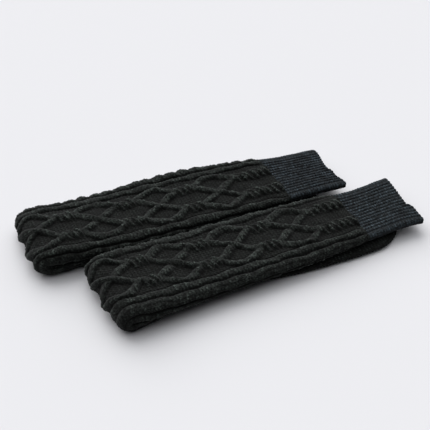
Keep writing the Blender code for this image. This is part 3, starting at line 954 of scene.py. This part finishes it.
def cuff_points(name, knit, inside):
    """Points of the ribbed cuff's outside from the leg to the mouth, or of its plain inside back."""
    course = knit.course / MM * RIB_COURSE_SHARE
    first = SEAM_PLACE + HALF_GAP
    count = round((FOLDED_LENGTH - first) / course * ROWS_A_COURSE)
    s = np.linspace(first, FOLDED_LENGTH - RIM_RADIUS, INNER_ROWS if inside else count)
    if inside:
        s = s[::-1]
    top, underside, slit = (column(values) for values in read_rows(CUFF_HEIGHTS, s))
    near, far = (column(values) for values in read_rows(CUFF_EDGES[name], s))
    s = column(s)
    wall = (top - underside - slit) / 2.0
    middle = (top + underside) / 2.0
    columns = cuff_columns()[None, :]
    on_rib = np.abs(np.sin(np.pi * columns / 2.0))
    rib = on_rib ** RIB_FULLNESS
    if inside:
        t, n, normal_t, normal_n, _ = cuff_section(columns, near - wall, far - wall, slit)
        raised = INNER_RIB_HEIGHT * (0.5 - rib) * np.ones_like(t)
        stitch = np.full(t.shape, PLAIN_STITCH)
    else:
        half_rib = RIB_HEIGHT / 2.0
        thickness = top - underside - RIB_HEIGHT
        t, n, normal_t, normal_n, shown = cuff_section(
            columns, near - half_rib, far - half_rib, thickness)
        rows = s / course + ROW_WANDER * swell(s, t, ROW_LENGTHS, start=SOCKS[name]["heading"])
        # Each rib's rows start at a height of their own
        start = 2.0 * np.pi * unevenness(columns / 2.0, 0.0)
        on_row = 0.5 + 0.5 * np.cos(2.0 * np.pi * rows + start)
        stitch = rising(VALLEY_STITCH_SHARE, on_rib) * on_row
        stitch = stitch * stitch_size(CUFF_STITCHES, columns / 2.0, rows)
        facing_up = np.maximum(normal_n, 0.0)
        spread = varied(CUFF_STITCH_SPREAD, facing_up)
        stitch = varied(CUFF_STITCH_MEAN, facing_up) + spread * (stitch - PLAIN_STITCH)
        rib_height = RIB_HEIGHT * varied(RIB_SHARES, swell(s, t, RIB_LENGTHS, start=1.0))
        raised = rib_height * (rib - 0.5)
        raised = raised + knit.stitch_depth / MM * (stitch - PLAIN_STITCH)
        raised = raised + shown * CUFF_SWELL * swell(s, t, SWELL_LENGTHS, start=2.0)
    reach = (s - first) / (FOLDED_LENGTH - first)
    across = (t - (far - near) / 2.0) / (near + far) * 2.0
    # The mouth's edge draws back, most of it close to the mouth
    drawn_back = read_rows(MOUTHS[name], across.ravel())[0].reshape(across.shape) * reach ** 3
    scallop = ease((reach - SCALLOP_START) / (1.0 - SCALLOP_START))
    drawn_back = drawn_back + MOUTH_SCALLOP * (1.0 - on_rib) * scallop
    points = np.stack([s - drawn_back, t + raised * normal_t, middle + n + raised * normal_n], 2)
    # Painted shade in the valleys between ribs and painted highlight on the ribs; the dye differs from
    # stitch to stitch at random
    painted_shade_and_highlight = np.broadcast_to(varied(RIB_SHADE_AND_HIGHLIGHT, rib), t.shape)
    dye = unevenness(columns / 2.0 + DYE_SHIFT[0], s / course)
    return points, np.stack([stitch, painted_shade_and_highlight, dye], 2)


def rounded_rim(outer, inner, radius, steps):
    """Rings that close a wall's edge in a half circle between its outer and inner last rings."""
    middle = (outer + inner) / 2.0
    rings = []
    for angle in np.pi * np.arange(1, steps) / steps:
        ring = middle + (outer - inner) / 2.0 * math.cos(angle)
        ring[:, 0] += radius * math.sin(angle)
        rings.append(ring)
    return np.array(rings)


def sock_place(name, s, t):
    """Where a point of the folded sock lies on the surface, in millimetres, before centring."""
    sock = SOCKS[name]
    share = s / FOLDED_LENGTH
    at_fold, at_mouth = sock["skew"]
    along = s - (at_fold + (at_mouth - at_fold) * share) * t / SKEW_REACH
    across = t + sock["bow"] * np.sin(math.pi * share)
    heading = math.radians(sock["heading"])
    x = sock["fold"][0] + along * math.cos(heading) - across * math.sin(heading)
    y = sock["fold"][1] + along * math.sin(heading) + across * math.cos(heading)
    return x, y


def frame_shift():
    """How far the frame's origin lies from the tables' own, read off the near foot's box."""
    low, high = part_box("near_foot")
    places = np.linspace(ANKLE_PLACE + 2.0 * HALF_GAP, TOE_PLACE, OUTLINE_SAMPLES)
    near, far = read_rows(LOWER_EDGES["near"], places)
    x, y = sock_place("near", np.append(places, places), np.append(-near, far))
    middle_x = (x.min() + x.max()) / 2.0
    middle_y = (y.min() + y.max()) / 2.0
    return (low[0] + high[0]) / 2.0 / MM - middle_x, (low[1] + high[1]) / 2.0 / MM - middle_y


def shell_faces(rings, size):
    """Four-sided faces between successive rings, and between the last ring and the first."""
    start = np.arange(rings)[:, None] * size
    first = start + np.arange(size)
    after = start + (np.arange(size) + 1) % size
    count = rings * size
    return np.stack([first, after, (after + size) % count, (first + size) % count], 2).reshape(-1, 4)


def add_shell(name, sock_name, points_of, knit, material, rim_radius=0.0):
    """Makes a closed shell from rings that run along its outside and back along its inside, with a
    rounded rim between the two where it has one."""
    outside, yarn = points_of(sock_name, knit, inside=False)
    inside, plain = points_of(sock_name, knit, inside=True)
    rim = rounded_rim(outside[-1], inside[0], rim_radius, RIM_STEPS) if rim_radius else outside[:0]
    rings = np.concatenate([outside, rim, inside])
    yarn = np.concatenate([yarn, np.repeat(yarn[-1:], len(rim), 0), plain])
    x, y = sock_place(sock_name, rings[:, :, 0], rings[:, :, 1])
    shift = frame_shift()
    points = np.stack([x + shift[0], y + shift[1], rings[:, :, 2]], 2) * MM
    faces = shell_faces(*points.shape[:2])
    points = points.reshape(-1, 3)
    a, b, c, d = (points[faces[:, k]] for k in range(4))
    volume = np.einsum("ij,ij->", a, np.cross(b, c)) + np.einsum("ij,ij->", a, np.cross(c, d))
    if volume < 0.0:
        faces = faces[:, ::-1]
    mesh = bpy.data.meshes.new(name)
    mesh.vertices.add(len(points))
    mesh.vertices.foreach_set("co", points.astype(np.float32).ravel())
    mesh.loops.add(faces.size)
    mesh.loops.foreach_set("vertex_index", faces.astype(np.int32).ravel())
    mesh.polygons.add(len(faces))
    mesh.polygons.foreach_set("loop_start", np.arange(0, faces.size, 4, dtype=np.int32))
    mesh.update(calc_edges=True)
    # The stitch's height and how far a place stands out paint shade and highlight into the colour; the
    # third value is the stitch's dye
    attribute = mesh.attributes.new("yarn", "FLOAT_VECTOR", "POINT")
    attribute.data.foreach_set("vector", yarn.reshape(-1, 3).astype(np.float32).ravel())
    mesh.materials.append(material)
    mesh.shade_smooth()
    piece = bpy.data.objects.new(name, mesh)
    bpy.context.scene.collection.objects.link(piece)
    return piece


def place_piece(piece, node):
    """Makes a piece ride on the pair's body, and hides the node whose place it takes."""
    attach(piece, "root")
    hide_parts(node)


def add_node(tree, kind, links=(), **settings):
    """Adds a node with its settings, and links outputs into its inputs. A setting is one of the
    node's own, or the value of an input by name, or by number, as in _1."""
    node = tree.nodes.new(kind)
    for name, value in settings.items():
        if hasattr(node, name):
            setattr(node, name, value)
        else:
            node.inputs[int(name[1:]) if name[1:].isdigit() else name].default_value = value
    for target, source in links:
        tree.links.new(source, node.inputs[target])
    return node


def charcoal_yarn(name, colour, nap):
    """Plied wool-blend yarn, dyed charcoal and knitted. Its curled fibres scatter light every way, so
    it looks matt, with hardly any gloss and a faint grey bloom on every edge and raised cord."""
    found = bpy.data.materials.get(name)
    if found:
        return found
    material = bpy.data.materials.new(name)
    material.use_nodes = True
    tree = material.node_tree
    shader = tree.nodes["Principled BSDF"]
    place = add_node(tree, "ShaderNodeTexCoord").outputs["Object"]

    heather, patches, fibres = (
        add_node(tree, "ShaderNodeTexNoise", [("Vector", place)], Scale=1.0 / (size * MM), Detail=detail)
        for size, detail in ((HEATHER_SIZE, 3.0), (PATCH_SIZE, 2.0), (FIBRE_SIZE, 2.0))
    )

    # Fibres of slightly different greys are mixed over a few stitches, and each stitch is dyed a little
    # darker or lighter. Painted shade darkens the gaps between stitches, the hollows and the purl
    # ground, and painted highlight lightens the stitches' tops and the raised cords
    yarn = add_node(tree, "ShaderNodeAttribute", attribute_name="yarn")
    parts = add_node(tree, "ShaderNodeSeparateXYZ", [(0, yarn.outputs["Vector"])])
    causes = [(heather.outputs["Fac"], HEATHER_TONES), (patches.outputs["Fac"], PATCH_TONES)]
    causes += [(parts.outputs[part], tones) for part, tones in STITCH_SHADE_AND_DYE.items()]
    tone = None
    for cause, (low, high, darkest, lightest) in causes:
        share = add_node(
            tree, "ShaderNodeMapRange", [("Value", cause)], _1=low, _2=high, _3=darkest, _4=lightest
        ).outputs[0]
        if tone is None:
            tone = share
        else:
            links = [(0, tone), (1, share)]
            tone = add_node(tree, "ShaderNodeMath", links, operation="MULTIPLY").outputs[0]
    dyed_and_shaded = add_node(
        tree, "ShaderNodeMix", [(0, tone)], data_type="RGBA", clamp_factor=False,
        A=(*linear(PAINTED_SHADE_COLOUR), 1.0), B=(*colour, 1.0))
    tree.links.new(dyed_and_shaded.outputs["Result"], shader.inputs["Base Color"])

    # Strands and loose fibres break up the stitches' outlines
    bump = add_node(
        tree, "ShaderNodeBump", [("Height", fibres.outputs["Fac"])],
        Strength=0.6, Distance=FIBRE_RISE * MM)
    tree.links.new(bump.outputs[0], shader.inputs["Normal"])
    for socket, value in (
        ("Roughness", 0.9),
        ("Specular IOR Level", 0.08),
        ("Sheen Weight", nap),
        ("Sheen Roughness", 0.6),
    ):
        shader.inputs[socket].default_value = value
    return material


class SOCKS_OT_add_legs(bpy.types.Operator):
    """Knits the cabled leg of each sock, from the cuff round the fold to the ankle"""

    bl_idname = "socks.add_legs"
    bl_label = "Add Cabled Legs"

    def execute(self, context):
        knit = context.scene.sock_knit
        material = charcoal_yarn("Charcoal wool blend, cable knitted", knit.body_colour[:], knit.nap)
        for name in SOCKS:
            piece = add_shell(name + "_cabled_leg", name, leg_points, knit, material)
            place_piece(piece, name + "_leg")
        return {"FINISHED"}


class SOCKS_OT_add_feet(bpy.types.Operator):
    """Knits the plain foot of each sock, with its rounded toe"""

    bl_idname = "socks.add_feet"
    bl_label = "Add Plain Feet"

    def execute(self, context):
        knit = context.scene.sock_knit
        material = charcoal_yarn("Charcoal wool blend, plain knitted", knit.body_colour[:], knit.nap)
        for name in SOCKS:
            piece = add_shell(name + "_plain_foot", name, foot_points, knit, material)
            place_piece(piece, name + "_foot")
        return {"FINISHED"}


class SOCKS_OT_add_cuffs(bpy.types.Operator):
    """Knits the ribbed cuff of each sock, with its open mouth"""

    bl_idname = "socks.add_cuffs"
    bl_label = "Add Ribbed Cuffs"

    def execute(self, context):
        knit = context.scene.sock_knit
        material = charcoal_yarn("Charcoal wool blend, rib knitted", knit.rib_colour[:], knit.nap)
        for name in SOCKS:
            piece = add_shell(name + "_ribbed_cuff", name, cuff_points, knit, material, RIM_RADIUS)
            place_piece(piece, name + "_cuff")
        return {"FINISHED"}


class SOCKS_OT_add_studio(bpy.types.Operator):
    """Lays the pale floor, sets the soft lights and places the camera"""

    bl_idname = "socks.add_studio"
    bl_label = "Add Studio"

    def execute(self, context):
        studio = context.scene.sock_studio
        scene = context.scene
        floor_mesh = bpy.data.meshes.new("floor")
        corners = [
            (x * FLOOR_REACH, y * FLOOR_REACH, -FLOOR_DROP)
            for x, y in ((-1.0, -1.0), (1.0, -1.0), (1.0, 1.0), (-1.0, 1.0))
        ]
        floor_mesh.from_pydata(corners, [], [(0, 1, 2, 3)])

        # Uncoated paper is matt all over, so it shows soft shadows and mirrors nothing
        material = bpy.data.materials.new("Pale seamless paper")
        material.use_nodes = True
        shader = material.node_tree.nodes["Principled BSDF"]
        shader.inputs["Base Color"].default_value = (*studio.floor_colour[:], 1.0)
        shader.inputs["Roughness"].default_value = 0.85
        shader.inputs["Specular IOR Level"].default_value = 0.1
        floor_mesh.materials.append(material)
        floor = bpy.data.objects.new("floor", floor_mesh)
        scene.collection.objects.link(floor)

        world = bpy.data.worlds.new("Soft surround")
        world.use_nodes = True
        tree = world.node_tree
        background = tree.nodes["Background"]
        background.inputs["Color"].default_value = (*linear(SURROUND_COLOUR), 1.0)

        # A wide softbox above and behind the pair: the share of its light by direction
        way = add_node(tree, "ShaderNodeTexCoord").outputs["Generated"]
        toward = add_node(
            tree, "ShaderNodeVectorMath", [(0, way)], operation="DOT_PRODUCT", _1=SOFTBOX_WAY)
        light = add_node(
            tree, "ShaderNodeMapRange", [("Value", toward.outputs["Value"])],
            _1=SOFTBOX_RANGE[0], _2=SOFTBOX_RANGE[1], _3=0.0, _4=SOFTBOX_PEAK)
        light = add_node(
            tree, "ShaderNodeMath", [(0, light.outputs[0])], operation="MULTIPLY", _1=studio.sky_strength)
        tree.links.new(light.outputs[0], background.inputs["Strength"])
        scene.world = world

        add_soft_sun("Key", KEY_WAY, KEY_SPREAD, studio.key_strength)

        camera_data = bpy.data.cameras.new("Camera")
        camera_data.sensor_width = SENSOR_WIDTH
        camera_data.lens = FOCAL_PIXELS * SENSOR_WIDTH / FRAME_PIXELS
        camera = bpy.data.objects.new("Camera", camera_data)
        azimuth = math.radians(CAMERA_AZIMUTH)
        elevation = math.radians(CAMERA_ELEVATION)
        back = Vector((
            math.sin(azimuth) * math.cos(elevation),
            -math.cos(azimuth) * math.cos(elevation),
            math.sin(elevation),
        ))
        camera.location = (Vector(CAMERA_TARGET) + back * CAMERA_DISTANCE) * MM
        camera.rotation_euler = (-back).to_track_quat("-Z", "Y").to_euler()
        scene.collection.objects.link(camera)
        scene.camera = camera
        scene.view_settings.view_transform = "Standard"
        return {"FINISHED"}


def add_soft_sun(name, direction, spread, strength):
    """A wide, far light, with the spread in degrees that a large softbox has as seen from the pair."""
    data = bpy.data.lights.new(name, "SUN")
    data.angle = math.radians(spread)
    data.energy = strength
    light = bpy.data.objects.new(name, data)
    light.location = direction
    light.rotation_euler = Vector([-axis for axis in direction]).to_track_quat("-Z", "Y").to_euler()
    bpy.context.scene.collection.objects.link(light)


class SOCKS_PT_panel(bpy.types.Panel):
    """Lists the socks' sizes, colours and pieces"""

    bl_label = "Cable-knit socks"
    bl_idname = "SOCKS_PT_panel"
    bl_space_type = "VIEW_3D"
    bl_region_type = "UI"
    bl_category = "Socks"

    def draw(self, context):
        layout = self.layout
        for group in (context.scene.sock_knit, context.scene.sock_studio):
            box = layout.box()
            for name in group.bl_rna.properties.keys():
                if name not in ("rna_type", "name"):
                    box.prop(group, name)
        for operator in OPERATORS:
            layout.operator(operator.bl_idname)


OPERATORS = (SOCKS_OT_add_studio, SOCKS_OT_add_legs, SOCKS_OT_add_feet, SOCKS_OT_add_cuffs)
CLASSES = (KnitSettings, StudioSettings, *OPERATORS, SOCKS_PT_panel)


def register():
    for each in CLASSES:
        bpy.utils.register_class(each)
    bpy.types.Scene.sock_knit = bpy.props.PointerProperty(type=KnitSettings)
    bpy.types.Scene.sock_studio = bpy.props.PointerProperty(type=StudioSettings)


def unregister():
    del bpy.types.Scene.sock_studio
    del bpy.types.Scene.sock_knit
    for each in reversed(CLASSES):
        bpy.utils.unregister_class(each)


def main():
    register()
    bpy.ops.socks.add_studio()
    bpy.ops.socks.add_feet()
    bpy.ops.socks.add_legs()
    bpy.ops.socks.add_cuffs()
    bpy.context.view_layer.update()


if __name__ == "__main__":
    main()
